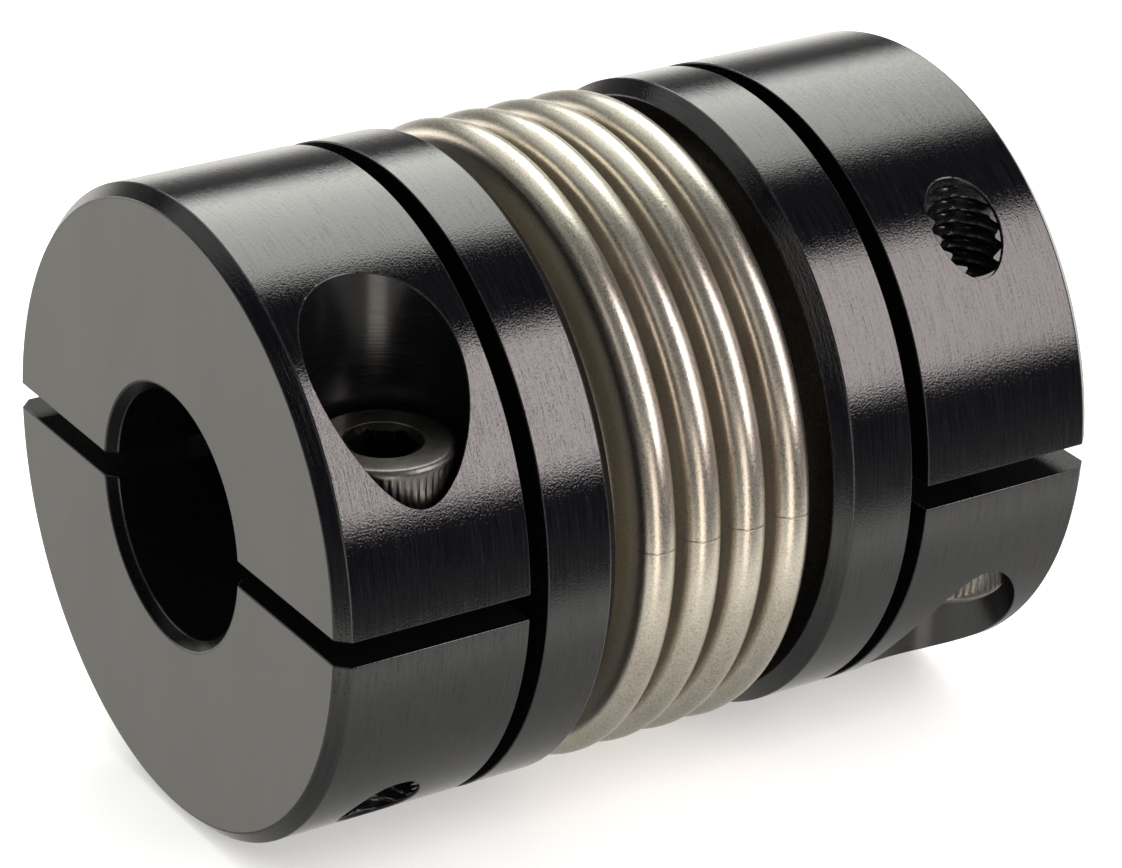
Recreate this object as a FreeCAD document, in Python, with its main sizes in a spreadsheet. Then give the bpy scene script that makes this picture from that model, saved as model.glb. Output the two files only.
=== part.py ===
import FreeCAD, Part
import math
import os
import Sketcher

# Bellows shaft coupling: two clamp hubs joined by a thin formed metal bellows.
# +X runs along the shaft line and +Z is up. The origin is on the shaft line, halfway between
# the two end faces. Each hub's clamp slot lies in the XY plane, and its screws run along Z.

doc = FreeCAD.newDocument("bellows_coupling")
os.makedirs("parts", exist_ok=True)

# ---------------------------------------------------------------- driving dimensions, in mm
sizes = [
    ("overall_length", 44.4, "end face to end face"),
    ("hub_radius", 16.65, "outside of both hubs"),
    ("bore_radius", 6.35, "shaft bore"),
    ("hub_length", 15.75, "end face to inner face"),
    ("end_chamfer", 0.65, "outer edge of the end face"),
    ("inner_chamfer", 0.75, "outer edge of the inner face"),
    ("bore_chamfer", 0.5, "both mouths of the bore"),
    ("slot_width", 1.3, "clamp slot across the whole hub"),
    ("relief_start", 10.45, "end face to the turned relief groove"),
    ("relief_width", 1.0, "relief groove"),
    ("neck_radius", 9.0, "metal left inside the relief groove"),
    ("spigot_radius", 13.15, "boss that carries the bellows cuff"),
    ("spigot_length", 0.85, "how far the boss stands out of the inner face"),
    ("screw_inset", 5.25, "end face to the screw axes"),
    ("screw_offset", 11.5, "shaft line to the screw axes"),
    ("seat_height", 3.9, "slot plane to the seat of a screw head"),
    ("counterbore_radius", 4.0, "well of a screw head"),
    ("clearance_radius", 2.2, "hole from the seat to the slot"),
    ("thread_radius", 2.0, "tapped hole, to the root of its thread"),
    ("shank_radius", 1.95, "screw, to the crest of its thread"),
    ("screw_length", 12.0, "under the head"),
    ("tip_chamfer", 0.4, "end of the screw"),
    ("head_radius", 3.5, "socket cap head"),
    ("head_height", 4.0, "socket cap head"),
    ("head_edge", 0.3, "broken edge of the head"),
    ("head_gap", 0.02, "play under the head"),
    ("socket_flats", 3.0, "hexagon socket, across its flats"),
    ("socket_depth", 2.2, "hexagon socket"),
    ("crest_radius", 16.6, "outside of the convolutions"),
    ("crest_arc", 1.0, "rounding of a crest, on the outside"),
    ("pitch", 2.64, "crest to crest"),
    ("root_radius", 13.6, "outside of the bellows at its roots and cuffs"),
    ("wall", 0.25, "bellows wall"),
    ("root_gap", 0.4, "bellows parted at each root, to leave room for its flexing"),
    ("cuff_gap", 0.02, "cuff to the hub's inner face"),
    ("bond_gap", 0.01, "bond ring to the metal on each side"),
]

sheet = doc.addObject("Spreadsheet::Sheet", "Sizes")
for row, (alias, value, note) in enumerate(sizes, start=1):
    sheet.set("A%d" % row, alias)
    sheet.set("B%d" % row, str(value))
    sheet.setAlias("B%d" % row, alias)
    sheet.set("C%d" % row, note)
doc.recompute()


def at(expression):
    """Value of an expression on the sheet."""
    return float(sheet.evalExpression(expression))


# ---------------------------------------------------------------- sketch helpers
def new_body(label):
    body = doc.addObject("PartDesign::Body", label)
    body.Label = label
    return body


def new_sketch(body, name, plane, lift=None):
    """Sketch on one of the body's own origin planes, lifted off it by an expression."""
    sketch = body.newObject("Sketcher::SketchObject", name)
    support = next(item for item in body.Origin.OriginFeatures if item.Role == plane)
    sketch.AttachmentSupport = [(support, "")]
    sketch.MapMode = "FlatFace"
    if lift:
        sketch.setExpression("AttachmentOffset.Base.z", lift)
    return sketch


def pin_point(sketch, edge, point, spot):
    """Tie one point of an edge to a place given by a pair of expressions."""
    for kind, axis, expression in (("DistanceX", -2, spot[0]), ("DistanceY", -1, spot[1])):
        if expression == "0":
            sketch.addConstraint(Sketcher.Constraint("PointOnObject", edge, point, axis))
            continue
        rule = Sketcher.Constraint(kind, -1, 1, edge, point, at(expression))
        index = sketch.addConstraint(rule)
        sketch.setExpression("Constraints[%d]" % index, expression)


def draw_outline(sketch, corners, arcs=None):
    """Closed outline through corners given as pairs of expressions. arcs names the edges that are
    arcs, counted from 0: edge number to (centre x, centre y, turn), turn +1 for anticlockwise."""
    arcs = arcs or {}
    spots = [FreeCAD.Vector(at(x), at(y), 0) for x, y in corners]
    first_points = []
    for number, start in enumerate(spots):
        end = spots[(number + 1) % len(spots)]
        if number not in arcs:
            sketch.addGeometry(Part.LineSegment(start, end), False)
            first_points.append(1)
            continue
        centre_x, centre_y, turn = arcs[number]
        centre = FreeCAD.Vector(at(centre_x), at(centre_y), 0)
        circle = Part.Circle(centre, FreeCAD.Vector(0, 0, 1), (start - centre).Length)
        low, high = (start, end) if turn > 0 else (end, start)
        low_angle = math.atan2(low.y - centre.y, low.x - centre.x)
        high_angle = math.atan2(high.y - centre.y, high.x - centre.x)
        if high_angle < low_angle:
            high_angle += 2 * math.pi
        sketch.addGeometry(Part.ArcOfCircle(circle, low_angle, high_angle), False)
        first_points.append(1 if turn > 0 else 2)
    for number, first_point in enumerate(first_points):
        following = (number + 1) % len(first_points)
        joint = Sketcher.Constraint("Coincident", number, 3 - first_point, following,
                                    first_points[following])
        sketch.addConstraint(joint)
        pin_point(sketch, number, first_point, corners[number])
        if number in arcs:
            centre_rule = Sketcher.Constraint("DistanceY", -1, 1, number, 3, at(arcs[number][1]))
            index = sketch.addConstraint(centre_rule)
            sketch.setExpression("Constraints[%d]" % index, arcs[number][1])


def draw_circle(sketch, spot, radius):
    """Circle at a pair of expressions, with its radius tied to another."""
    centre = FreeCAD.Vector(at(spot[0]), at(spot[1]), 0)
    edge = sketch.addGeometry(Part.Circle(centre, FreeCAD.Vector(0, 0, 1), at(radius)), False)
    pin_point(sketch, edge, 3, spot)
    index = sketch.addConstraint(Sketcher.Constraint("Radius", edge, at(radius)))
    sketch.setExpression("Constraints[%d]" % index, radius)


# ---------------------------------------------------------------- feature helpers
def revolve(body, sketch, axis):
    turned = body.newObject("PartDesign::Revolution", sketch.Name + "_turned")
    turned.Profile = sketch
    turned.ReferenceAxis = (sketch, [axis])
    turned.Angle = 360
    doc.recompute()
    return turned


def cut(body, sketch, upward, length=None, both_ways=False):
    """Pocket from a sketch, along its normal or against it, that has to remove metal."""
    before = body.Shape.Volume
    pocket = body.newObject("PartDesign::Pocket", sketch.Name + "_cut")
    pocket.Profile = sketch
    pocket.Reversed = upward
    if both_ways:
        pocket.Midplane = True
    if length:
        pocket.Type = "Length"
        pocket.setExpression("Length", length)
    else:
        pocket.Type = "ThroughAll"
    doc.recompute()
    if body.Shape.Volume > before - 0.01:
        raise RuntimeError(pocket.Name + " removed nothing")
    return pocket


# ---------------------------------------------------------------- hub
def make_hub(label, turned_over):
    """Clamp hub, drawn for the -X end. The other one is turned half a turn about Z."""
    body = new_body(label)
    face = "-Sizes.overall_length / 2"
    relief = face + " + Sizes.relief_start"
    relief_end = relief + " + Sizes.relief_width"
    inner = face + " + Sizes.hub_length"
    spigot_end = inner + " + Sizes.spigot_length"
    mouth = "Sizes.bore_radius + Sizes.bore_chamfer"
    section = new_sketch(body, label + "_section", "XZ_Plane")
    draw_outline(section, [
        (face, mouth),
        (face, "Sizes.hub_radius - Sizes.end_chamfer"),
        (face + " + Sizes.end_chamfer", "Sizes.hub_radius"),
        (relief, "Sizes.hub_radius"),
        (relief, "Sizes.neck_radius"),
        (relief_end, "Sizes.neck_radius"),
        (relief_end, "Sizes.hub_radius"),
        (inner + " - Sizes.inner_chamfer", "Sizes.hub_radius"),
        (inner, "Sizes.hub_radius - Sizes.inner_chamfer"),
        (inner, "Sizes.spigot_radius"),
        (spigot_end, "Sizes.spigot_radius"),
        (spigot_end, mouth),
        (spigot_end + " - Sizes.bore_chamfer", "Sizes.bore_radius"),
        (face + " + Sizes.bore_chamfer", "Sizes.bore_radius"),
    ])
    revolve(body, section, "H_Axis")

    # clamp slot: right across the hub, from the end face to the relief groove
    slot = new_sketch(body, label + "_slot", "XZ_Plane")
    outside = face + " - 1"
    draw_outline(slot, [
        (outside, "-Sizes.slot_width / 2"),
        (relief, "-Sizes.slot_width / 2"),
        (relief, "Sizes.slot_width / 2"),
        (outside, "Sizes.slot_width / 2"),
    ])
    cut(body, slot, False, both_ways=True)

    # one screw hole, from the head's well down through the slot, and its twin across the bore
    hole_spot = (face + " + Sizes.screw_inset", "-Sizes.screw_offset")
    well = new_sketch(body, label + "_well", "XY_Plane", lift="Sizes.seat_height")
    draw_circle(well, hole_spot, "Sizes.counterbore_radius")
    well_cut = cut(body, well, True)
    passage = new_sketch(body, label + "_passage", "XY_Plane")
    draw_circle(passage, hole_spot, "Sizes.clearance_radius")
    passage_cut = cut(body, passage, True, length="Sizes.seat_height")
    tapping = new_sketch(body, label + "_tapping", "XY_Plane")
    draw_circle(tapping, hole_spot, "Sizes.thread_radius")
    tapping_cut = cut(body, tapping, False)

    one_hole = body.Shape.Volume
    twins = body.newObject("PartDesign::PolarPattern", label + "_twin_holes")
    twins.Originals = [well_cut, passage_cut, tapping_cut]
    twins.Axis = (section, ["H_Axis"])
    twins.Angle = 360
    twins.Occurrences = 2
    body.Tip = twins
    doc.recompute()
    if body.Shape.Volume > one_hole - 1:
        raise RuntimeError(label + " lacks its second screw hole")
    if turned_over:
        body.Placement.Rotation = FreeCAD.Rotation(FreeCAD.Vector(0, 0, 1), 180)
    return body


# ---------------------------------------------------------------- bellows
root_end = "(Sizes.pitch - Sizes.root_gap) / 2"
root_arc = "(Sizes.pitch / 2 - Sizes.crest_arc)"
root_centre = "(Sizes.root_radius + Sizes.pitch / 2 - Sizes.crest_arc)"


def root_height(radius):
    """Height of a root arc of this radius where the bellows is parted."""
    return root_centre + " - sqrt(" + radius + "^2 - (Sizes.root_gap / 2)^2)"


def make_convolution(label, place):
    """One convolution, from root to root, its crest in the middle. place is in pitches."""
    body = new_body(label)
    section = new_sketch(body, label + "_section", "XZ_Plane")
    crest = "Sizes.crest_radius - Sizes.crest_arc"
    outside = "Sizes.crest_arc"
    inside = "(Sizes.crest_arc - Sizes.wall)"
    outer_end = root_height(root_arc)
    inner_end = root_height("(" + root_arc + " + Sizes.wall)")
    draw_outline(section, [
        ("-" + root_end, outer_end),
        ("-" + outside, root_centre),
        ("-" + outside, crest),
        (outside, crest),
        (outside, root_centre),
        (root_end, outer_end),
        (root_end, inner_end),
        (inside, root_centre),
        (inside, crest),
        ("-" + inside, crest),
        ("-" + inside, root_centre),
        ("-" + root_end, inner_end),
    ], arcs={
        0: ("-Sizes.pitch / 2", root_centre, 1),
        2: ("0", crest, -1),
        4: ("Sizes.pitch / 2", root_centre, 1),
        6: ("Sizes.pitch / 2", root_centre, -1),
        8: ("0", crest, 1),
        10: ("-Sizes.pitch / 2", root_centre, -1),
    })
    revolve(body, section, "H_Axis")
    body.setExpression("Placement.Base.x", "Sizes.pitch * %s" % place)
    return body


def make_ring(label, near, far, inner_radius, outer_radius, turned_over):
    """Plain ring drawn at the -X end, between two places along the shaft line."""
    body = new_body(label)
    section = new_sketch(body, label + "_section", "XZ_Plane")
    draw_outline(section, [
        (near, inner_radius),
        (near, outer_radius),
        (far, outer_radius),
        (far, inner_radius),
    ])
    revolve(body, section, "H_Axis")
    if turned_over:
        body.Placement.Rotation = FreeCAD.Rotation(FreeCAD.Vector(0, 0, 1), 180)
    return body


def make_cuff(label, turned_over):
    """Straight end of the bellows, over the hub's spigot."""
    near = "-Sizes.overall_length / 2 + Sizes.hub_length + Sizes.cuff_gap"
    far = "-Sizes.pitch * 2 - Sizes.root_gap / 2"
    inner = "Sizes.root_radius - Sizes.wall"
    return make_ring(label, near, far, inner, "Sizes.root_radius", turned_over)


def make_bond_ring(label, turned_over):
    """Adhesive between the spigot and the cuff."""
    near = "-Sizes.overall_length / 2 + Sizes.hub_length + Sizes.cuff_gap"
    far = "-Sizes.overall_length / 2 + Sizes.hub_length + Sizes.spigot_length"
    inner = "Sizes.spigot_radius + Sizes.bond_gap"
    outer = "Sizes.root_radius - Sizes.wall - Sizes.bond_gap"
    return make_ring(label, near, far, inner, outer, turned_over)


# ---------------------------------------------------------------- clamp screw
def make_screw(label, end, head_up):
    """Socket head cap screw, drawn with the underside of its head at z = 0. end is -1 or +1."""
    body = new_body(label)
    section = new_sketch(body, label + "_section", "XZ_Plane")
    draw_outline(section, [
        ("0", "-Sizes.screw_length"),
        ("Sizes.shank_radius - Sizes.tip_chamfer", "-Sizes.screw_length"),
        ("Sizes.shank_radius", "-Sizes.screw_length + Sizes.tip_chamfer"),
        ("Sizes.shank_radius", "0"),
        ("Sizes.head_radius", "0"),
        ("Sizes.head_radius", "Sizes.head_height - Sizes.head_edge"),
        ("Sizes.head_radius - Sizes.head_edge", "Sizes.head_height"),
        ("0", "Sizes.head_height"),
    ])
    revolve(body, section, "V_Axis")
    socket = new_sketch(body, label + "_socket", "XY_Plane", lift="Sizes.head_height")
    corner = "Sizes.socket_flats / sqrt(3)"
    draw_outline(socket, [
        (corner, "0"),
        (corner + " / 2", "Sizes.socket_flats / 2"),
        ("-" + corner + " / 2", "Sizes.socket_flats / 2"),
        ("-" + corner, "0"),
        ("-" + corner + " / 2", "-Sizes.socket_flats / 2"),
        (corner + " / 2", "-Sizes.socket_flats / 2"),
    ])
    cut(body, socket, False, length="Sizes.socket_depth")
    # a hub's two heads face opposite ways, and the right hub is the left one turned about Z
    front = (end < 0) == head_up
    side = "-" if front else ""
    level = "" if head_up else "-"
    axis_x = "%d * (Sizes.overall_length / 2 - Sizes.screw_inset)" % end
    body.setExpression("Placement.Base.x", axis_x)
    body.setExpression("Placement.Base.y", side + "Sizes.screw_offset")
    body.setExpression("Placement.Base.z", level + "(Sizes.seat_height + Sizes.head_gap)")
    if not head_up:
        body.Placement.Rotation = FreeCAD.Rotation(FreeCAD.Vector(1, 0, 0), 180)
    return body


# ---------------------------------------------------------------- the coupling
pieces = []
for side, turned_over in (("left", False), ("right", True)):
    pieces.append(make_hub(side + "_hub", turned_over))
    pieces.append(make_cuff(side + "_cuff", turned_over))
    pieces.append(make_bond_ring(side + "_bond_ring", turned_over))
for count, place in enumerate((-1.5, -0.5, 0.5, 1.5), start=1):
    pieces.append(make_convolution("convolution_%d" % count, place))
pieces.append(make_screw("left_front_screw", -1, True))
pieces.append(make_screw("left_rear_screw", -1, False))
pieces.append(make_screw("right_front_screw", 1, False))
pieces.append(make_screw("right_rear_screw", 1, True))
doc.recompute()

for item in doc.Objects:
    if "Invalid" in item.State or "Error" in item.State:
        raise RuntimeError(item.Name + " failed: " + ", ".join(item.State))
for piece in pieces:
    shape = piece.Shape
    if shape.isNull() or not shape.isValid() or len(shape.Solids) != 1:
        raise RuntimeError(piece.Label + " is not one good solid")
    shape.exportStep("parts/" + piece.Label + ".step")
    box = shape.BoundBox
    print("%-18s %9.2f mm3   x %7.2f %7.2f   y %7.2f %7.2f   z %7.2f %7.2f" % (
        piece.Label, shape.Volume, box.XMin, box.XMax, box.YMin, box.YMax, box.ZMin, box.ZMax))
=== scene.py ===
import bpy
import bmesh
import math
import numpy as np
from mathutils import Matrix, Vector


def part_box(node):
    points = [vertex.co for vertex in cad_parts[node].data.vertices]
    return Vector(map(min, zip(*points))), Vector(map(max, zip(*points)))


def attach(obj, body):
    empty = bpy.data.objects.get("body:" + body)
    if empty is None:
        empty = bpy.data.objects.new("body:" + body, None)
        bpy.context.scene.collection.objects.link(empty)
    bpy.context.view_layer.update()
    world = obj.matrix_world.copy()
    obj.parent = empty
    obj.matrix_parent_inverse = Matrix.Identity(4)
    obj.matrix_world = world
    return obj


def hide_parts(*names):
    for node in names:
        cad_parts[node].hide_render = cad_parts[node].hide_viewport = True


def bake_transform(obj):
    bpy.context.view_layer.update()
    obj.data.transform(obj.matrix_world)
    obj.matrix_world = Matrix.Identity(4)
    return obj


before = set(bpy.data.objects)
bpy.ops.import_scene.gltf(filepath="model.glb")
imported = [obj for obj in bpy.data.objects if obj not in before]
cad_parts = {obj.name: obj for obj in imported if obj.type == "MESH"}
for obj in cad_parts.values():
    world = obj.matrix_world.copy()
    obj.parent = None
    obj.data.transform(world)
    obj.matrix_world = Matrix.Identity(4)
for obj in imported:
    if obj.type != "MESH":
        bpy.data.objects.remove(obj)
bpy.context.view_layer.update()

# Bellows shaft coupling on a pale floor. Everything is in metres. The shaft line is the X axis,
# +Z is up, and the origin is at the middle of the coupling.

mm = 0.001
scene = bpy.context.scene
print("frame loaded")


# helpers that make and change meshes
def newPiece(name, mesh, materials):
    piece = bpy.data.objects.new(name, mesh)
    scene.collection.objects.link(piece)
    for material in materials:
        mesh.materials.append(material)
    return piece


def skinRings(name, rings, loop=False):
    # each ring is a list of points, and a ring of one point is a pole; loop joins last to first
    verts, faces, starts = [], [], []
    for ring in rings:
        starts.append(len(verts))
        verts.extend(ring)
    pairs = list(zip(range(len(rings) - 1), range(1, len(rings))))
    if loop:
        pairs.append((len(rings) - 1, 0))
    for a, b in pairs:
        countA, countB = len(rings[a]), len(rings[b])
        for k in range(max(countA, countB)):
            nextK = (k + 1) % max(countA, countB)
            if countA == 1:
                faces.append((starts[a], starts[b] + k, starts[b] + nextK))
            elif countB == 1:
                faces.append((starts[a] + nextK, starts[a] + k, starts[b]))
            else:
                faces.append((starts[a] + k, starts[b] + k, starts[b] + nextK, starts[a] + nextK))
    mesh = bpy.data.meshes.new(name)
    mesh.from_pydata(verts, [], faces)
    return mesh


def spinAboutX(profile, columns):
    # profile is a list of (x, r); gives one ring of points for each pair
    turns = [(math.cos(2 * math.pi * k / columns), math.sin(2 * math.pi * k / columns))
             for k in range(columns)]
    return [[(x, r * c, r * s) for c, s in turns] for x, r in profile]


def outwards(mesh):
    work = bmesh.new()
    work.from_mesh(mesh)
    bmesh.ops.recalc_face_normals(work, faces=work.faces)
    work.to_mesh(mesh)
    work.free()
    return mesh


def applyModifiers(piece):
    bpy.context.view_layer.update()
    seen = piece.evaluated_get(bpy.context.evaluated_depsgraph_get())
    final = bpy.data.meshes.new_from_object(seen)
    old = piece.data
    piece.modifiers.clear()
    piece.data = final
    bpy.data.meshes.remove(old)


def carve(piece, cutterMeshes, how="DIFFERENCE"):
    # takes each closed mesh out of the piece
    for mesh in cutterMeshes:
        cutter = bpy.data.objects.new("cutter", mesh)
        scene.collection.objects.link(cutter)
        step = piece.modifiers.new("carve", "BOOLEAN")
        step.operation = how
        step.solver = "EXACT"
        step.object = cutter
        applyModifiers(piece)
        bpy.data.objects.remove(cutter)
        bpy.data.meshes.remove(mesh)


def smoothBy(mesh, angle):
    mesh.shade_smooth()
    mesh.set_sharp_from_angle(angle=math.radians(angle))


class Nodes:
    # a short way to write a material's nodes
    def __init__(self, name, **finish):
        self.material = bpy.data.materials.new(name)
        self.material.use_nodes = True
        self.tree = self.material.node_tree
        self.shader = next(n for n in self.tree.nodes if n.type == "BSDF_PRINCIPLED")
        for socket, value in finish.items():
            self.shader.inputs[socket.replace("_", " ")].default_value = value

    def add(self, kind, links=None, **values):
        node = self.tree.nodes.new(kind)
        for key, value in values.items():
            setattr(node, key, value)
        for socket, source in (links or {}).items():
            self.join(source, node.inputs[socket])
        return node

    def join(self, source, socket):
        if hasattr(source, "is_output"):
            self.tree.links.new(source, socket)
        else:
            socket.default_value = source

    def place(self, scale):
        # the piece's own coordinates, stretched by scale
        where = self.add("ShaderNodeTexCoord")
        stretch = self.add("ShaderNodeMapping", {"Vector": where.outputs["Object"], "Scale": scale})
        return stretch.outputs["Vector"]

    def around(self, along, across, turns):
        # coordinates that follow a part turned about the X axis: along it, out from it, round it
        split = self.add("ShaderNodeSeparateXYZ", {"Vector": self.place((1, 1, 1))})
        y, z = split.outputs["Y"], split.outputs["Z"]
        radius = self.maths("SQRT", self.maths("ADD", self.maths("MULTIPLY", y, y),
                                               self.maths("MULTIPLY", z, z)))
        turn = self.maths("ARCTAN2", z, self.maths("MULTIPLY", y, -1.0))
        wrapped = self.add("ShaderNodeCombineXYZ", {"X": self.maths("MULTIPLY", split.outputs["X"], along),
                                                    "Y": self.maths("MULTIPLY", radius, across),
                                                    "Z": self.maths("MULTIPLY", turn, turns)})
        return wrapped.outputs["Vector"]

    def noise(self, scale, detail=3.0, rough=0.6, where=None):
        # scale is in waves a metre; where takes the place of the piece's own coordinates
        where = self.place(scale) if where is None else where
        noise = self.add("ShaderNodeTexNoise", {"Vector": where, "Scale": 1.0,
                                                "Detail": detail, "Roughness": rough})
        return noise.outputs["Fac"]

    def span(self, value, low, high, toLow, toHigh):
        node = self.add("ShaderNodeMapRange", {"Value": value, "From Min": low, "From Max": high,
                                               "To Min": toLow, "To Max": toHigh})
        return node.outputs["Result"]

    def ramp(self, value, stops):
        node = self.add("ShaderNodeValToRGB", {"Fac": value})
        points = node.color_ramp.elements
        while len(points) < len(stops):
            points.new(0.5)
        for point, (at, colour) in zip(points, stops):
            point.position = at
            point.color = (*colour, 1.0)
        return node.outputs["Color"]

    def tint(self, colour, share, by):
        # multiplies the colour by another one, as far as share goes
        node = self.add("ShaderNodeMix", data_type="RGBA", blend_type="MULTIPLY")
        self.join(share, node.inputs["Factor"])
        self.join(colour, node.inputs[6])
        node.inputs[7].default_value = (*by, 1.0)
        return node.outputs[2]

    def maths(self, operation, a, b=0.0):
        node = self.add("ShaderNodeMath", operation=operation)
        self.join(a, node.inputs[0])
        self.join(b, node.inputs[1])
        return node.outputs["Value"]

    def bump(self, height, strength, distance, below=None):
        node = self.add("ShaderNodeBump", {"Height": height, "Strength": strength, "Distance": distance})
        if below is not None:
            self.join(below, node.inputs["Normal"])
        return node.outputs["Normal"]

    def finish(self, **sockets):
        for socket, source in sockets.items():
            self.join(source, self.shader.inputs[socket.replace("_", " ")])
        return self.material


# black anodised aluminium of the hubs
anodised = {
    "black": (0.0012, 0.0012, 0.0016),
    "turnedRoughness": (0.06, 0.10),
    "facedRoughness": (0.32, 0.42),
    "ior": 1.55,
    "facedIor": 2.06,
}


def makeTurnedFinish():
    # outside of the hubs: fine lines round the shaft line, with a fine grain over them
    m = Nodes("blackTurned", IOR=anodised["ior"])
    lines = m.noise(None, 3.0, 0.7, where=m.around(9000, 0, 6))
    grain = m.noise((9000, 9000, 9000), 2.0, 0.6)
    patches = m.noise((260, 260, 260), 2.0, 0.5)
    low, high = anodised["turnedRoughness"]
    blotch = m.span(patches, 0.3, 0.7, low, high)
    relief = m.bump(grain, 0.5, 0.018 * mm)
    relief = m.bump(lines, 0.6, 0.016 * mm, relief)
    colour = m.ramp(lines, [(0.35, anodised["black"]), (0.62, (0.0035, 0.0035, 0.0045)),
                            (0.80, (0.014, 0.0135, 0.014))])
    worn = m.maths("ADD", m.maths("MULTIPLY", lines, 0.6), m.maths("MULTIPLY", grain, 0.4))
    sheen = m.ramp(worn, [(0.36, (0.60, 0.60, 0.60)), (0.47, (0.95, 0.95, 0.95)), (0.60, (1.0, 1.0, 1.0))])
    return m.finish(Base_Color=colour, Roughness=blotch, Normal=relief, Specular_Tint=sheen)


def makeFacedFinish():
    # end faces: a satin, very finely speckled face; its base colour, far lighter than the black elsewhere,
    # and its higher IOR are painted light for the light falling on the end face
    m = Nodes("blackFaced", IOR=anodised["facedIor"])
    speckle = m.noise((14000, 14000, 14000), 3.0, 0.7)
    clouds = m.noise((220, 220, 90), 3.0, 0.55)
    streaks = m.noise((500, 2600, 300), 3.0, 0.6)
    low, high = anodised["facedRoughness"]
    rough = m.span(m.maths("ADD", clouds, m.maths("MULTIPLY", streaks, 0.4)), 0.4, 1.0, low, high)
    relief = m.bump(speckle, 0.5, 0.014 * mm)
    # the lighter grey of this colour is painted light on the end face, not a different finish
    colour = m.ramp(speckle, [(0.25, (0.026, 0.0245, 0.020)), (0.8, (0.054, 0.051, 0.042))])
    return m.finish(Base_Color=colour, Roughness=rough, Normal=relief)


def makeInnerFinish(name, ior):
    # bore, slots and the faces towards the bellows
    m = Nodes(name, IOR=ior)
    grain = m.noise((6000, 6000, 6000), 3.0, 0.6)
    rough = m.span(grain, 0.3, 0.7, 0.20, 0.30)
    relief = m.bump(grain, 0.4, 0.008 * mm)
    colour = m.ramp(grain, [(0.3, (0.0010, 0.0010, 0.0012)), (0.8, (0.0020, 0.0020, 0.0024))])
    return m.finish(Base_Color=colour, Roughness=rough, Normal=relief)


def makeEdgeFinish():
    # broken edges: worn a little brighter in places, with tiny bare specks
    m = Nodes("blackEdge", IOR=anodised["ior"])
    wear = m.noise((2600, 2600, 2600), 4.0, 0.7)
    colour = m.ramp(wear, [(0.55, (0.003, 0.003, 0.0035)), (0.75, (0.015, 0.014, 0.012)),
                           (0.86, (0.25, 0.23, 0.20))])
    rough = m.span(wear, 0.3, 0.8, 0.2, 0.38)
    return m.finish(Base_Color=colour, Roughness=rough, Normal=m.bump(wear, 0.4, 0.02 * mm))


def makeBoredFinish():
    # wells of the screw heads: bored, with fine rings round the well
    m = Nodes("blackBored", IOR=anodised["ior"])
    rings = m.noise((400, 400, 9000), 3.0, 0.6)
    colour = m.ramp(rings, [(0.3, (0.0015, 0.0015, 0.0018)), (0.8, (0.004, 0.004, 0.0045))])
    rough = m.span(rings, 0.3, 0.7, 0.20, 0.28)
    return m.finish(Base_Color=colour, Roughness=rough, Normal=m.bump(rings, 0.4, 0.012 * mm))


blackTurned = makeTurnedFinish()
blackFaced = makeFacedFinish()
# the IOR of 1.18 dims blackInside's reflections: painted shade for the bore, slots and faces towards the
# bellows, which lie in shade
blackInside = makeInnerFinish("blackInside", 1.18)
blackThread = makeInnerFinish("blackThread", anodised["ior"])
blackEdge = makeEdgeFinish()
blackBored = makeBoredFinish()


# clamp screws: knurled socket heads with a real thread
screw = {
    "headRadius": 3.5 * mm,
    "headHeight": 4.0 * mm,
    "headEdge": 0.32 * mm,
    "knurls": 54,
    "knurlDepth": 0.10 * mm,
    "socketFlats": 3.0 * mm,
    "socketDepth": 2.2 * mm,
    "length": 12.0 * mm,
    "threadPitch": 0.7 * mm,
    "threadDepth": 0.36 * mm,
    "threadRadius": 1.95 * mm,
    "holeRadius": 2.0 * mm,
    "mouthRadius": 1.98 * mm,
    "columns": 216,
    "turned": {"left_front_screw": 26.5, "left_rear_screw": 8,
               "right_front_screw": 41, "right_rear_screw": 15},       # degrees
}


def threadCut(z, turn):
    # 0 at the thread's crest and 1 at its root, for a height and a share of a turn
    phase = (z / screw["threadPitch"] - turn) % 1.0
    ridge = abs(phase - 0.5) * 2
    crestFlat, flank = 0.12, 0.68
    return min(1.0, max(0.0, (ridge - crestFlat) / flank))


def roundRing(radius, z, columns):
    return [(radius * math.cos(2 * math.pi * k / columns), radius * math.sin(2 * math.pi * k / columns), z)
            for k in range(columns)]


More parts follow.
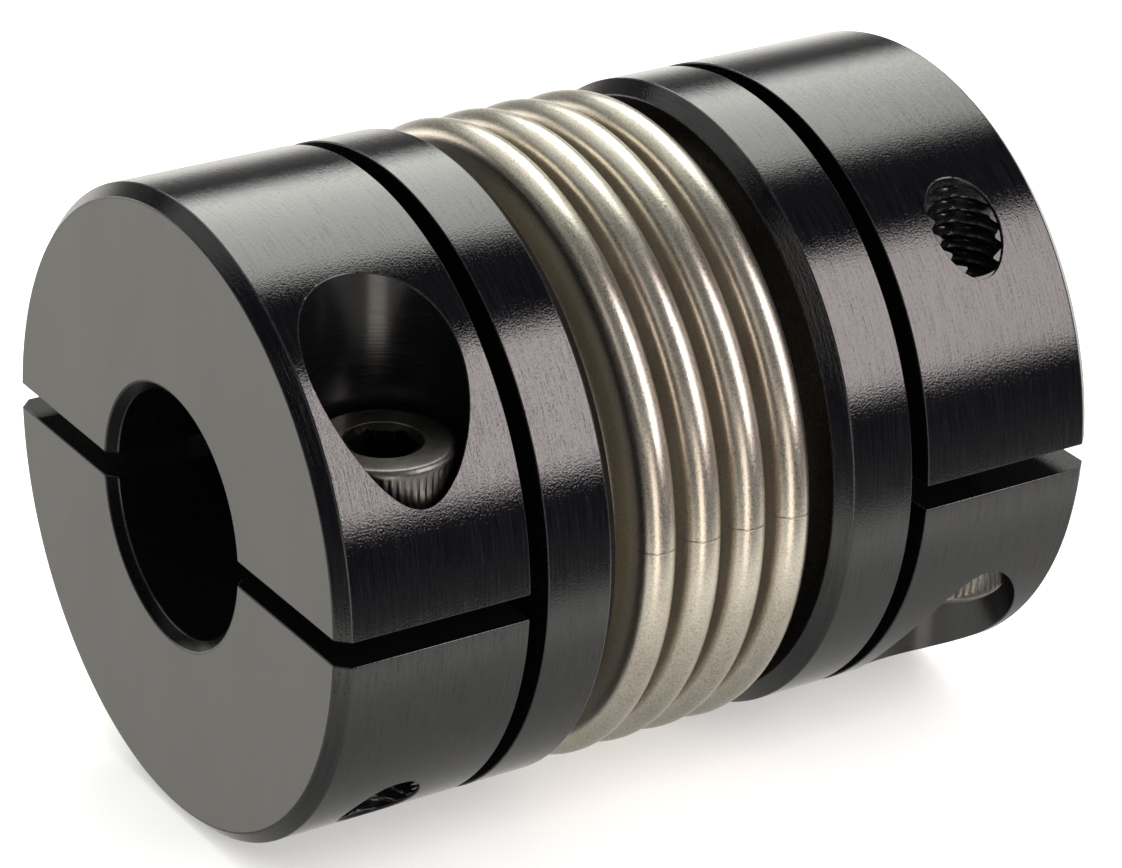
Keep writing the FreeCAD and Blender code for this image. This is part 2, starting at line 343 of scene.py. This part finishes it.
def makeScrewMesh():
    # local frame: underside of the head at z = 0, shank downwards
    columns = screw["columns"]
    turns = [k / columns for k in range(columns)]

    def ring(radiusAt, z):
        return [(radiusAt(t) * math.cos(2 * math.pi * t), radiusAt(t) * math.sin(2 * math.pi * t), z)
                for t in turns]

    def hexRadius(t):
        turn = (t * 6) % 1.0 - 0.5
        return screw["socketFlats"] / 2 / math.cos(turn * math.pi / 3)

    def knurl(t):
        wave = abs(((t * screw["knurls"]) % 1.0) * 2 - 1)
        return screw["headRadius"] - screw["knurlDepth"] * (1 - wave ** 0.8)

    def plain(radius, z):
        rings.append(ring(lambda t: radius, z))

    top, edge, radius = screw["headHeight"], screw["headEdge"], screw["headRadius"]
    # pointed end, then the thread, which starts and runs out gradually
    tip, tipLength = -screw["length"], 0.3 * mm
    rings = [[(0, 0, tip)]]
    plain(1.1 * mm, tip)
    plain(1.5 * mm, tip)
    step = screw["threadPitch"] / 8
    count = int((screw["length"] - tipLength) / step)
    for k in range(count + 1):
        z = tip + k * step
        fade = min(1.0, k / 4)
        high = screw["threadRadius"] - (1 - fade) * 0.40 * mm
        runOut = min(1.0, max(0.0, -z / (0.8 * mm)))

        def shank(t, z=z, high=high, runOut=runOut):
            full = screw["threadRadius"] - screw["threadDepth"] * threadCut(z, t) * runOut
            return min(full, high)
        rings.append(ring(shank, z))
    plain(screw["threadRadius"], -0.02 * mm)
    # underside of the head and its knurled side
    plain(2.05 * mm, 0)
    plain(radius - 0.25 * mm, 0)
    plain(radius - 0.06 * mm, 0.06 * mm)
    plain(radius - 0.02 * mm, 0.22 * mm)
    knurlStart, knurlRunOut = 0.34 * mm, 0.25 * mm
    rings.append(ring(knurl, knurlStart))
    for share in (0.25, 0.5, 0.75, 1.0):
        rings.append(ring(knurl, knurlStart + share * (top - edge - knurlStart - knurlRunOut)))
    plain(radius - 0.015 * mm, top - edge - 0.08 * mm)
    # rounded edge, flat top, and the hexagon socket with its countersunk mouth
    for k in range(7):
        bend = k / 6 * math.pi / 2
        plain(radius - edge * (1 - math.cos(bend)), top - edge * (1 - math.sin(bend)))
    plain(radius - 0.6 * mm, top)
    plain(2.1 * mm, top)
    mouth = screw["mouthRadius"]
    plain(mouth, top)
    for k in range(1, 9):
        deep = 0.035 * mm * k
        rings.append(ring(lambda t, d=deep: max(hexRadius(t), mouth - 1.6 * d), top - deep))
    floor = top - screw["socketDepth"]
    rings.append(ring(hexRadius, floor))
    plain(0.9 * mm, floor - 0.02 * mm)
    rings.append([(0, 0, floor - 0.3 * mm)])
    mesh = outwards(skinRings("clampScrew", rings))
    smoothBy(mesh, 28)
    return mesh


def makeScrewSteel():
    # dark oxide steel: patchy, with a fine grain
    m = Nodes("screwSteel", Metallic=1.0, IOR=2.6)
    grain = m.noise((7000, 7000, 7000), 3.0, 0.6)
    patches = m.noise((900, 900, 900), 3.0, 0.6)
    colour = m.ramp(patches, [(0.3, (0.10, 0.097, 0.093)), (0.6, (0.165, 0.157, 0.146)),
                              (0.85, (0.25, 0.235, 0.21))])
    rough = m.span(grain, 0.3, 0.7, 0.30, 0.44)
    return m.finish(Base_Color=colour, Roughness=rough, Normal=m.bump(grain, 0.5, 0.01 * mm))


def makeSocketSteel():
    # the hexagon is darker than the head: painted shade for the deep socket
    m = Nodes("socketSteel", Metallic=1.0)
    grain = m.noise((5000, 5000, 5000), 3.0, 0.6)
    colour = m.ramp(grain, [(0.3, (0.012, 0.012, 0.011)), (0.7, (0.035, 0.034, 0.030))])
    return m.finish(Base_Color=colour, Roughness=m.span(grain, 0.3, 0.7, 0.3, 0.45),
                    Normal=m.bump(grain, 0.5, 0.01 * mm))


def screwPlace(name):
    # a screw's own frame in the coupling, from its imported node's box
    low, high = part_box(name)
    middle = (Vector(low) + Vector(high)) / 2
    headUp = abs(high[2]) < abs(low[2])
    seat = high[2] - screw["headHeight"] if headUp else low[2] + screw["headHeight"]
    tilt = Matrix.Identity(4) if headUp else Matrix.Rotation(math.pi, 4, "X")
    spin = Matrix.Rotation(math.radians(screw["turned"][name]), 4, "Z")
    return Matrix.Translation((middle.x, middle.y, seat)) @ tilt @ spin


screwNames = ("left_front_screw", "left_rear_screw", "right_front_screw", "right_rear_screw")
screwSteel = makeScrewSteel()
screwMesh = makeScrewMesh()
screwMesh.materials.append(screwSteel)
screwMesh.materials.append(makeSocketSteel())
# faces inside the hexagon take the darker socketSteel: painted shade for the socket
socketRadius, socketFloor, socketTop = 1.9 * mm, 0.5 * mm, screw["headHeight"] - 0.03 * mm
for polygon in screwMesh.polygons:
    centre = polygon.center
    if math.hypot(centre.x, centre.y) < socketRadius and socketFloor < centre.z < socketTop:
        polygon.material_index = 1
for name in screwNames:
    piece = bpy.data.objects.new(name.replace("_screw", "_clamp_screw"), screwMesh)
    scene.collection.objects.link(piece)
    piece.matrix_world = screwPlace(name)
    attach(piece, name + "_body")
    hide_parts(name)
print("clamp screws made")


# hubs: turned blanks, then slotted, bored and tapped
hub = {
    "length": 15.75 * mm,
    "radius": 16.65 * mm,
    "boreRadius": 6.35 * mm,
    "boreChamfer": 0.5 * mm,
    "endChamfer": 0.65 * mm,
    "innerChamfer": 0.75 * mm,
    "slotWidth": 1.3 * mm,
    "reliefStart": 10.45 * mm,
    "reliefWidth": 1.0 * mm,
    "neckRadius": 9.0 * mm,
    "spigotRadius": 13.15 * mm,
    "spigotLength": 0.85 * mm,
    "seatHeight": 3.9 * mm,
    "headGap": 0.02 * mm,        # from the underside of a screw's head down to its seat
    "wellRadius": 4.0 * mm,
    "clearanceRadius": 2.2 * mm,
    "brokenEdge": 0.07 * mm,
    "columns": 360,
}


def makeHubBlank(face):
    inner = face + hub["length"]
    relief = face + hub["reliefStart"]
    reliefEnd = relief + hub["reliefWidth"]
    spigotEnd = inner + hub["spigotLength"]
    mouth = hub["boreRadius"] + hub["boreChamfer"]
    profile = [
        (face, mouth),
        (face, hub["radius"] - hub["endChamfer"]),
        (face + hub["endChamfer"], hub["radius"]),
        (relief, hub["radius"]),
        (relief, hub["neckRadius"]),
        (reliefEnd, hub["neckRadius"]),
        (reliefEnd, hub["radius"]),
        (inner - hub["innerChamfer"], hub["radius"]),
        (inner, hub["radius"] - hub["innerChamfer"]),
        (inner, hub["spigotRadius"]),
        (spigotEnd, hub["spigotRadius"]),
        (spigotEnd, mouth),
        (spigotEnd - hub["boreChamfer"], hub["boreRadius"]),
        (face + hub["boreChamfer"], hub["boreRadius"]),
    ]
    return outwards(skinRings("hub", spinAboutX(profile, hub["columns"]), loop=True))


def boxMesh(low, high):
    mesh = bpy.data.meshes.new("box")
    work = bmesh.new()
    bmesh.ops.create_cube(work, size=1.0)
    for v in work.verts:
        v.co = [low[k] if v.co[k] < 0 else high[k] for k in range(3)]
    work.to_mesh(mesh)
    work.free()
    return mesh


def rodMesh(radius, low, high, columns=128):
    rings = [[(0, 0, low)], roundRing(radius, low, columns), roundRing(radius, high, columns),
             [(0, 0, high)]]
    return outwards(skinRings("rod", rings))


def makeThread(name, place, slotPlane):
    # the tapped hole's thread, as a sleeve cut off just under the hub's outside
    columns, step = 144, screw["threadPitch"] / 10
    low, high = -18 * mm, slotPlane - hub["slotWidth"] / 2 - 0.03 * mm
    count = int((high - low) / step)

    def threadedRing(z):
        ring = []
        for k in range(columns):
            turn = 2 * math.pi * k / columns
            radius = screw["holeRadius"] - screw["threadDepth"] * (1 - threadCut(z, k / columns))
            ring.append((radius * math.cos(turn), radius * math.sin(turn), z))
        return ring

    inner = [threadedRing(low + k * step) for k in range(count + 1)]
    wall = screw["holeRadius"] + 0.012 * mm
    outer = [roundRing(wall, z, columns) for z in (low + count * step, low)]
    mesh = outwards(skinRings("thread", inner + outer, loop=True))
    mesh.transform(place)
    piece = newPiece(name, mesh, [blackThread])
    reach, trimRadius = 0.03, hub["radius"] - 0.13 * mm
    trim = spinAboutX([(-reach, trimRadius), (reach, trimRadius)], hub["columns"])
    rod = outwards(skinRings("trim", [[(-reach, 0, 0)]] + trim + [[(reach, 0, 0)]]))
    carve(piece, [rod], "INTERSECT")
    smoothBy(piece.data, 30)
    return piece


def makeHub(name, turned):
    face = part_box("left_hub")[0][0]
    blank = newPiece(name, makeHubBlank(face),
                     [blackTurned, blackFaced, blackInside, blackEdge, blackBored])
    relief = face + hub["reliefStart"]
    half = hub["slotWidth"] / 2
    carve(blank, [boxMesh((face - mm, -0.02, -half), (relief + 0.01 * mm, 0.02, half))])
    places = [screwPlace("left_front_screw"), screwPlace("left_rear_screw")]
    # heights in a screw's own frame; the three rods of a screw overlap a little
    seat, overlap = -hub["headGap"], 0.05 * mm
    slotPlane = seat - hub["seatHeight"]
    for place in places:
        for mesh in (rodMesh(hub["wellRadius"], seat, 0.015),
                     rodMesh(hub["clearanceRadius"], slotPlane, seat + overlap, 96),
                     rodMesh(screw["holeRadius"], -0.02, slotPlane + overlap, 96)):
            mesh.transform(place)
            carve(blank, [mesh])
    # stray points of the cuts are merged, then every edge is broken
    work = bmesh.new()
    work.from_mesh(blank.data)
    bmesh.ops.remove_doubles(work, verts=work.verts, dist=0.006 * mm)
    bmesh.ops.dissolve_degenerate(work, dist=0.002 * mm, edges=work.edges)
    work.to_mesh(blank.data)
    work.free()
    bevel = blank.modifiers.new("brokenEdge", "BEVEL")
    bevel.width = hub["brokenEdge"]
    bevel.segments = 3
    bevel.limit_method = "ANGLE"
    bevel.angle_limit = math.radians(28)
    bevel.use_clamp_overlap = False
    bevel.material = 3
    bevel.miter_outer = "MITER_ARC"
    applyModifiers(blank)
    sortHubFaces(blank.data, face, places)
    normals = hubNormals(blank.data, face, places)
    if turned:
        blank.data.transform(Matrix.Rotation(math.pi, 4, "Z"))
        normals = normals * np.array((-1.0, -1.0, 1.0))
    blank.data.shade_smooth()
    blank.data.normals_split_custom_set_from_vertices([tuple(n) for n in normals])
    return blank


def hubNormals(mesh, face, places):
    # each point on one of the hub's true surfaces takes that surface's own direction, so long
    # flat facets shade as one; points on a broken edge keep their averaged direction
    count = len(mesh.vertices)
    points = np.empty(count * 3)
    mesh.vertices.foreach_get("co", points)
    points = points.reshape(-1, 3)
    averaged = np.empty(count * 3)
    mesh.vertices.foreach_get("normal", averaged)
    averaged = averaged.reshape(-1, 3)
    x, z = points[:, 0], points[:, 2]
    radius = np.hypot(points[:, 1], z)
    away = points / np.maximum(radius, 1e-9)[:, None]
    away[:, 0] = 0
    along = np.array((1.0, 0.0, 0.0))
    near = 0.006 * mm
    true = np.zeros((count, 3))
    hits = np.zeros(count, int)

    def claim(where, direction):
        hits[where] += 1
        true[where] = direction[where] if direction.ndim == 2 else direction

    relief, inner = face + hub["reliefStart"], face + hub["length"]
    reliefEnd, spigotEnd = relief + hub["reliefWidth"], inner + hub["spigotLength"]
    outer, half = hub["radius"], hub["slotWidth"] / 2
    claim((abs(radius - outer) < near), away)
    claim((abs(radius - hub["neckRadius"]) < near) & (x > relief - near) & (x < reliefEnd + near), away)
    claim((abs(radius - hub["spigotRadius"]) < near) & (x > inner - near), away)
    claim((abs(radius - hub["boreRadius"]) < near), -away)
    claim((abs(x - face) < near) & (radius < outer - hub["endChamfer"] + near), -along)
    claim((abs(x - inner) < near) & (radius > hub["spigotRadius"] - near), along)
    claim((abs(x - spigotEnd) < near), along)
    claim((abs(x - relief) < near) & (radius > hub["neckRadius"] - near), along)
    claim((abs(x - reliefEnd) < near) & (radius > hub["neckRadius"] - near), -along)
    slant = math.sqrt(0.5)
    claim((abs(x - face + outer - radius - hub["endChamfer"]) < near) & (x < face + mm),
          (away - along) * slant)
    claim((abs(inner - x + outer - radius - hub["innerChamfer"]) < near) & (x > inner - mm)
          & (radius > outer - mm), (away + along) * slant)
    claim((abs(z - half) < near) & (x < relief + near), np.array((0.0, 0.0, -1.0)))
    claim((abs(z + half) < near) & (x < relief + near), np.array((0.0, 0.0, 1.0)))
    for place in places:
        back = np.array(place.inverted())
        local = points @ back[:3, :3].T + back[:3, 3]
        spread = np.hypot(local[:, 0], local[:, 1])
        outward = local / np.maximum(spread, 1e-9)[:, None]
        outward[:, 2] = 0
        outward = outward @ np.array(place)[:3, :3].T
        axis = np.array(place)[:3, 2]
        seat = -hub["headGap"]
        deep = seat - hub["seatHeight"]
        claim((abs(spread - hub["wellRadius"]) < near) & (local[:, 2] > seat - near), -outward)
        claim((abs(spread - hub["clearanceRadius"]) < near) & (local[:, 2] > deep)
              & (local[:, 2] < seat + near), -outward)
        claim((abs(spread - screw["holeRadius"]) < near) & (local[:, 2] < deep), -outward)
        claim((abs(local[:, 2] - seat) < near) & (spread < hub["wellRadius"] + near), axis)
    only = hits == 1
    averaged[only] = true[only]
    return averaged


def sortHubFaces(mesh, face, places):
    # gives each face of a hub its finish: 0 turned outside, 1 end face, 2 inside, 3 broken edge,
    # 4 well of a screw head
    backs = [place.inverted() for place in places]
    largestEdge, boreEdge = 0.2 * mm * mm, 6.2 * mm
    shell, shellEnd, near = hub["radius"] - 0.9 * mm, face + 16 * mm, 0.05 * mm
    for polygon in mesh.polygons:
        centre, normal = polygon.center, polygon.normal
        radius = math.hypot(centre.y, centre.z)
        if polygon.material_index == 3 and polygon.area < largestEdge and radius > boreEdge:
            continue
        if abs(centre.x - face) < 0.01 * mm and normal.x < -0.9:
            polygon.material_index = 1
        elif radius > shell and centre.x < shellEnd \
                and (normal.y * centre.y + normal.z * centre.z) / radius > 0.5:
            polygon.material_index = 0
        else:
            polygon.material_index = 2
            for back in backs:
                spot = back @ centre
                if abs(math.hypot(spot.x, spot.y) - hub["wellRadius"]) < near and spot.z > -near:
                    polygon.material_index = 4


for name, turned in (("left_hub", False), ("right_hub", True)):
    piece = makeHub(name + "_turned", turned)
    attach(piece, name + "_body")
    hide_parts(name)
    print(name, "made", len(piece.data.polygons), "faces")
for name in screwNames:
    thread = makeThread(name.replace("screw", "thread"), screwPlace(name),
                        -hub["seatHeight"] - hub["headGap"])
    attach(thread, name.split("_")[0] + "_hub_body")


# bellows: five thin-walled runs, each parted at the top of a crest
bellows = {
    "crests": 4,
    "crestRadius": 16.6 * mm,
    "crestArc": 1.0 * mm,
    "rootRadius": 13.6 * mm,
    "pitch": 2.64 * mm,
    "wall": 0.25 * mm,
    "blendReach": 0.7 * mm,      # each side of a root, along the shaft line
    "columns": 300,
    "seamTurn": 3.0,             # degrees above the front
    "dullRadius": 15.0 * mm,     # the finish is dull inside this radius
    "brightRadius": 16.0 * mm,   # and bright outside this one
    "dullness": 0.16,
    # colour that the deepest part of the grooves is multiplied by: painted shade
    "paintedGrooveShade": (0.66, 0.63, 0.56),
}


def bellowsLine(offset):
    # the wall's line from the left hub to the right one, moved inwards by offset, as (x, r, parting)
    crestArc, rootArc = bellows["crestArc"] - offset, bellows["pitch"] / 2 - bellows["crestArc"] + offset
    crestHeight = bellows["crestRadius"] - bellows["crestArc"]
    rootHeight = bellows["rootRadius"] + bellows["pitch"] / 2 - bellows["crestArc"]
    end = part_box("left_cuff")[0][0]
    points = [(end, rootHeight - rootArc, False)]
    steps = [0, 1, 5, 12, 20, 30, 40, 50, 60, 70, 80, 90]

    def rootPoint(middle, side, degrees):
        turn = math.radians(degrees)
        points.append((middle + side * rootArc * math.sin(turn), rootHeight - rootArc * math.cos(turn),
                       False))

    def crestPoint(middle, side, degrees, parting=False):
        turn = math.radians(degrees)
        points.append((middle + side * crestArc * math.sin(turn), crestHeight + crestArc * math.cos(turn),
                       parting))

    for crest in range(bellows["crests"]):
        x = (crest - 1.5) * bellows["pitch"]
        for degrees in range(0, 91, 10):        # out of the root to its left
            rootPoint(x - bellows["pitch"] / 2, 1, degrees)
        for share in (0.33, 0.67):
            points.append((x - crestArc, rootHeight + share * (crestHeight - rootHeight), False))
        for degrees in reversed(steps):
            crestPoint(x, -1, degrees, degrees == 0)
        for degrees in steps[1:]:
            crestPoint(x, 1, degrees)
        for share in (0.67, 0.33):
            points.append((x + crestArc, rootHeight + share * (crestHeight - rootHeight), False))
        rootX = x + bellows["pitch"] / 2
        last = crest == bellows["crests"] - 1
        for degrees in range(90, 0 if last else 9, -10):      # down into the root to its right
            rootPoint(rootX, -1, degrees)
    points.append((rootX, rootHeight - rootArc, False))
    points.append((-end, rootHeight - rootArc, False))
    return points


def bellowsRuns():
    outside, inside = bellowsLine(0), bellowsLine(bellows["wall"])
    cuts = [0] + [k for k, point in enumerate(outside) if point[2]] + [len(outside) - 1]
    for first, last in zip(cuts, cuts[1:]):
        yield [p[:2] for p in outside[first:last + 1]], [p[:2] for p in inside[first:last + 1]]


def makeStainless():
    # formed stainless: warm satin with a fine sandy grain, duller down in the grooves, with painted shade
    # darkening the deepest part of the grooves, and one lengthwise weld line
    m = Nodes("formedStainless")
    split = m.add("ShaderNodeSeparateXYZ", {"Vector": m.around(1, 1, 1)})
    radius, turn = split.outputs["Y"], split.outputs["Z"]
    deep = m.span(radius, bellows["dullRadius"], bellows["brightRadius"], 1.0, 0.0)
    lines = m.noise(None, 3.0, 0.7, where=m.around(7000, 7000, 9))
    grain = m.noise((8500, 8500, 8500), 2.0, 0.7)
    clouds = m.noise((300, 300, 300), 3.0, 0.5)
    mixed = m.maths("ADD", m.maths("MULTIPLY", grain, 0.7), m.maths("MULTIPLY", clouds, 0.3))
    colour = m.ramp(mixed, [(0.34, (0.41, 0.37, 0.305)), (0.50, (0.56, 0.515, 0.44)),
                            (0.66, (0.68, 0.64, 0.56))])
    away = m.maths("ABSOLUTE", m.maths("SUBTRACT", turn, math.radians(bellows["seamTurn"])))
    seam = m.maths("MULTIPLY", m.span(away, 0.0012, 0.0040, 1.0, 0.0), m.maths("SUBTRACT", 1.0, deep))
    shade = m.tint(colour, m.maths("MULTIPLY", seam, 0.45), (0.25, 0.2, 0.15))
    # painted shade: the colour is darkened below 15.4 mm radius, where the roots lie in shade
    paintedShadeShare = m.span(radius, 14.5 * mm, 15.4 * mm, 1.0, 0.0)
    shade = m.tint(shade, paintedShadeShare, bellows["paintedGrooveShade"])
    rough = m.maths("ADD", m.span(grain, 0.3, 0.7, 0.27, 0.35), m.maths("MULTIPLY", deep, 0.10))
    metal = m.maths("SUBTRACT", 1.0, m.maths("MULTIPLY", deep, bellows["dullness"]))
    relief = m.bump(grain, 0.5, 0.0175 * mm)
    relief = m.bump(lines, 0.25, 0.006 * mm, relief)
    relief = m.bump(seam, 0.5, 0.02 * mm, relief)
    return m.finish(Base_Color=shade, Roughness=rough, Metallic=metal, Normal=relief)


stainless = makeStainless()
bellowsNodes = [["left_cuff"], ["convolution_1"], ["convolution_2"], ["convolution_3", "convolution_4"],
                ["right_cuff"]]
for count, (outside, inside) in enumerate(bellowsRuns()):
    rings = spinAboutX(outside + inside[::-1], bellows["columns"])
    mesh = outwards(skinRings("bellowsRun", rings, loop=True))
    smoothBy(mesh, 40)
    piece = newPiece("bellows_run_%d" % (count + 1), mesh, [stainless])
    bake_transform(piece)
    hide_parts(*bellowsNodes[count])
print("bellows made")


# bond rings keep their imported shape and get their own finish
def makeBond():
    m = Nodes("bondAmber", IOR=1.5)
    clouds = m.noise((900, 900, 900), 3.0, 0.6)
    colour = m.ramp(clouds, [(0.3, (0.10, 0.075, 0.04)), (0.7, (0.16, 0.12, 0.07))])
    rough = m.span(clouds, 0.3, 0.7, 0.3, 0.5)
    return m.finish(Base_Color=colour, Roughness=rough, Normal=m.bump(clouds, 0.4, 0.03 * mm))


bond = makeBond()
for name in ("left_bond_ring", "right_bond_ring"):
    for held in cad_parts[name].material_slots:
        held.material = bond


# floor, surround, lights and camera
studio = {
    "floorHeight": -hub["radius"],
    "floorRadius": 4.0,
    "floorColour": (0.86, 0.86, 0.85),
    "floorGlow": 0.22,      # keeps the shadow faint
    "backdropRadius": 3.9,
    "backdropGlow": 0.80,
    "overhead": 5.0,        # brightness of the panel above and behind
    "front": 6.5,           # brightness of the panel in front, to the right
    "centre": 0.14,         # weak and wide, straight in front
    "low": 2.6,             # low, in front and a little to the left
    "side": 1.1,            # far left
    "end": 2.0,             # behind and to the left, for the end face
    "daylight": 2.8,        # even light on the floor
    "surround": 1.6,        # brightness of what the metal sees near the horizon
    "horizon": (0.0, -0.1355, 0.4815),      # half the direction that counts as up for the surround
}


def makeFloor():
    m = Nodes("paleFloor", Roughness=0.9)
    clouds = m.noise((3, 3, 3), 2.0, 0.5)
    r, g, b = studio["floorColour"]
    colour = m.ramp(clouds, [(0.0, (r, g, b)), (1.0, (r * 0.985, g * 0.985, b * 0.985))])
    m.shader.inputs["Emission Color"].default_value = (1.0, 0.995, 0.98, 1.0)
    m.shader.inputs["Emission Strength"].default_value = studio["floorGlow"]
    return m.finish(Base_Color=colour)


def makePaper():
    m = Nodes("palePaper", Base_Color=(0, 0, 0, 1), Roughness=1.0, Emission_Strength=studio["backdropGlow"])
    clouds = m.noise((2, 2, 2))
    return m.finish(Emission_Color=m.ramp(clouds, [(0.0, (1.0, 1.0, 1.0)), (1.0, (0.98, 0.98, 0.97))]))


floorMesh = skinRings("floor", [[(0, 0, 0)], roundRing(0.5, 0, 64),
                                roundRing(studio["floorRadius"], 0, 64)])
floor = newPiece("floor", floorMesh, [makeFloor()])
floor.location.z = studio["floorHeight"]
floor.visible_glossy = False
floor.visible_shadow = False

wallMesh = skinRings("backdrop", [roundRing(studio["backdropRadius"], z, 64) for z in (-0.5, 3.0)])
wall = newPiece("backdrop", wallMesh, [makePaper()])
for ray in ("glossy", "diffuse", "shadow", "transmission", "volume_scatter"):
    setattr(wall, "visible_" + ray, False)

# share of the way from straight down to straight up, and the surround's level there
surroundLevels = ((0.03, 0.25), (0.12, 0.36), (0.20, 0.50), (0.245, 0.62), (0.30, 0.88), (0.35, 0.80),
                  (0.385, 0.48), (0.415, 0.18), (0.475, 0.12), (0.545, 0.06), (0.60, 0.027), (1.0, 0.019))


def makeSurround():
    # what the metal mirrors: pale below a slightly tilted horizon, dark above it
    world = bpy.data.worlds.new("surround")
    world.use_nodes = True
    tree = world.node_tree
    background = next(n for n in tree.nodes if n.type == "BACKGROUND")
    toward = tree.nodes.new("ShaderNodeTexCoord")
    tilt = tree.nodes.new("ShaderNodeVectorMath")
    tilt.operation = "DOT_PRODUCT"
    tilt.inputs[1].default_value = studio["horizon"]
    tree.links.new(toward.outputs["Generated"], tilt.inputs[0])
    lift = tree.nodes.new("ShaderNodeMath")
    lift.inputs[1].default_value = 0.5
    tree.links.new(tilt.outputs["Value"], lift.inputs[0])
    shades = tree.nodes.new("ShaderNodeValToRGB")
    tree.links.new(lift.outputs["Value"], shades.inputs["Fac"])
    while len(shades.color_ramp.elements) < len(surroundLevels):
        shades.color_ramp.elements.new(0.5)
    for stop, (at, level) in zip(shades.color_ramp.elements, surroundLevels):
        stop.position = at
        cool = 0.0 if at < 0.5 else 1.0         # the dark part is a little blue, the pale part warm
        stop.color = (level * (1 - 0.1 * cool), level * 0.985, level * (0.93 + 0.27 * cool), 1.0)
    tree.links.new(shades.outputs["Color"], background.inputs["Color"])
    background.inputs["Strength"].default_value = studio["surround"]
    return world


scene.world = makeSurround()
sun = bpy.data.objects.new("daylight", bpy.data.lights.new("daylight", "SUN"))
scene.collection.objects.link(sun)
sun.data.energy = studio["daylight"]
sun.data.angle = math.radians(100)
sun.data.use_shadow = False
sun.visible_glossy = False


def addPanel(name, left, right, low, high, brightness, colour, distance=0.7):
    # a soft rectangular light, long in X, that fills the angles low to high about the shaft line,
    # counted from the front upwards
    middle = math.radians((low + high) / 2)
    half = distance * math.tan(math.radians((high - low) / 2))
    data = bpy.data.lights.new(name, "AREA")
    data.shape = "RECTANGLE"
    data.size = right - left
    data.size_y = 2 * half
    data.energy = brightness * math.pi * data.size * data.size_y
    data.color = colour
    lamp = bpy.data.objects.new(name, data)
    scene.collection.objects.link(lamp)
    spot = Vector(((left + right) / 2, -math.cos(middle) * distance, math.sin(middle) * distance))
    facing = Vector((0, spot.y, spot.z)).normalized()
    side = Vector((1, 0, 0))
    tall = facing.cross(side)
    basis = Matrix((side, tall, facing)).transposed().to_4x4()
    lamp.matrix_world = Matrix.Translation(spot) @ basis
    lamp.visible_camera = False
    return lamp


# the two long panels are laid out in strips: left end, right end, share of the brightness
overheadSteps = ((-0.62, -0.20, 0.14), (-0.20, 0.12, 0.26), (0.12, 0.42, 1.0), (0.42, 0.62, 0.82),
                 (0.62, 1.20, 0.18))
for left, right, share in overheadSteps:
    addPanel("overheadPanel", left, right, 101, 152, studio["overhead"] * share, (0.98, 1.0, 0.93))
frontSteps = ((0.27, 0.44, 1.28), (0.44, 0.70, 0.94), (0.70, 1.95, 0.18))
for left, right, share in frontSteps:
    addPanel("frontPanel", left, right, 12, 63, studio["front"] * share, (1.0, 0.90, 0.885))
addPanel("centrePanel", -0.55, 0.20, 4, 92, studio["centre"], (0.93, 1.0, 0.97))
addPanel("lowPanel", -0.42, -0.12, -32, 12, studio["low"], (1.0, 0.90, 0.80))
addPanel("endPanel", -0.50, -0.24, 166, 186, studio["end"], (1.0, 0.98, 0.90))
addPanel("sidePanel", -0.95, -0.60, 12, 85, studio["side"], (1.0, 0.92, 0.80))

camera = bpy.data.objects.new("camera", bpy.data.cameras.new("camera"))
scene.collection.objects.link(camera)
view = {"azimuth": -33.50, "elevation": 25.93, "roll": 1.92, "lens": 148.26,
        "place": (-117.74 * mm, -178.89 * mm, 103.44 * mm)}
azimuth, elevation, roll = (math.radians(view[k]) for k in ("azimuth", "elevation", "roll"))
right = Vector((math.cos(azimuth), math.sin(azimuth), 0))
back = Vector((math.sin(azimuth) * math.cos(elevation), -math.cos(azimuth) * math.cos(elevation),
               math.sin(elevation)))
up = back.cross(right)
right, up = (math.cos(roll) * right + math.sin(roll) * up,
             math.cos(roll) * up - math.sin(roll) * right)
camera.matrix_world = Matrix.Translation(view["place"]) @ Matrix((right, up, back)).transposed().to_4x4()
camera.data.sensor_fit = "HORIZONTAL"
camera.data.sensor_width = 36
camera.data.lens = view["lens"]
camera.data.clip_start = 0.01
camera.data.clip_end = 20
scene.camera = camera
scene.view_settings.view_transform = "Standard"
print("studio made")
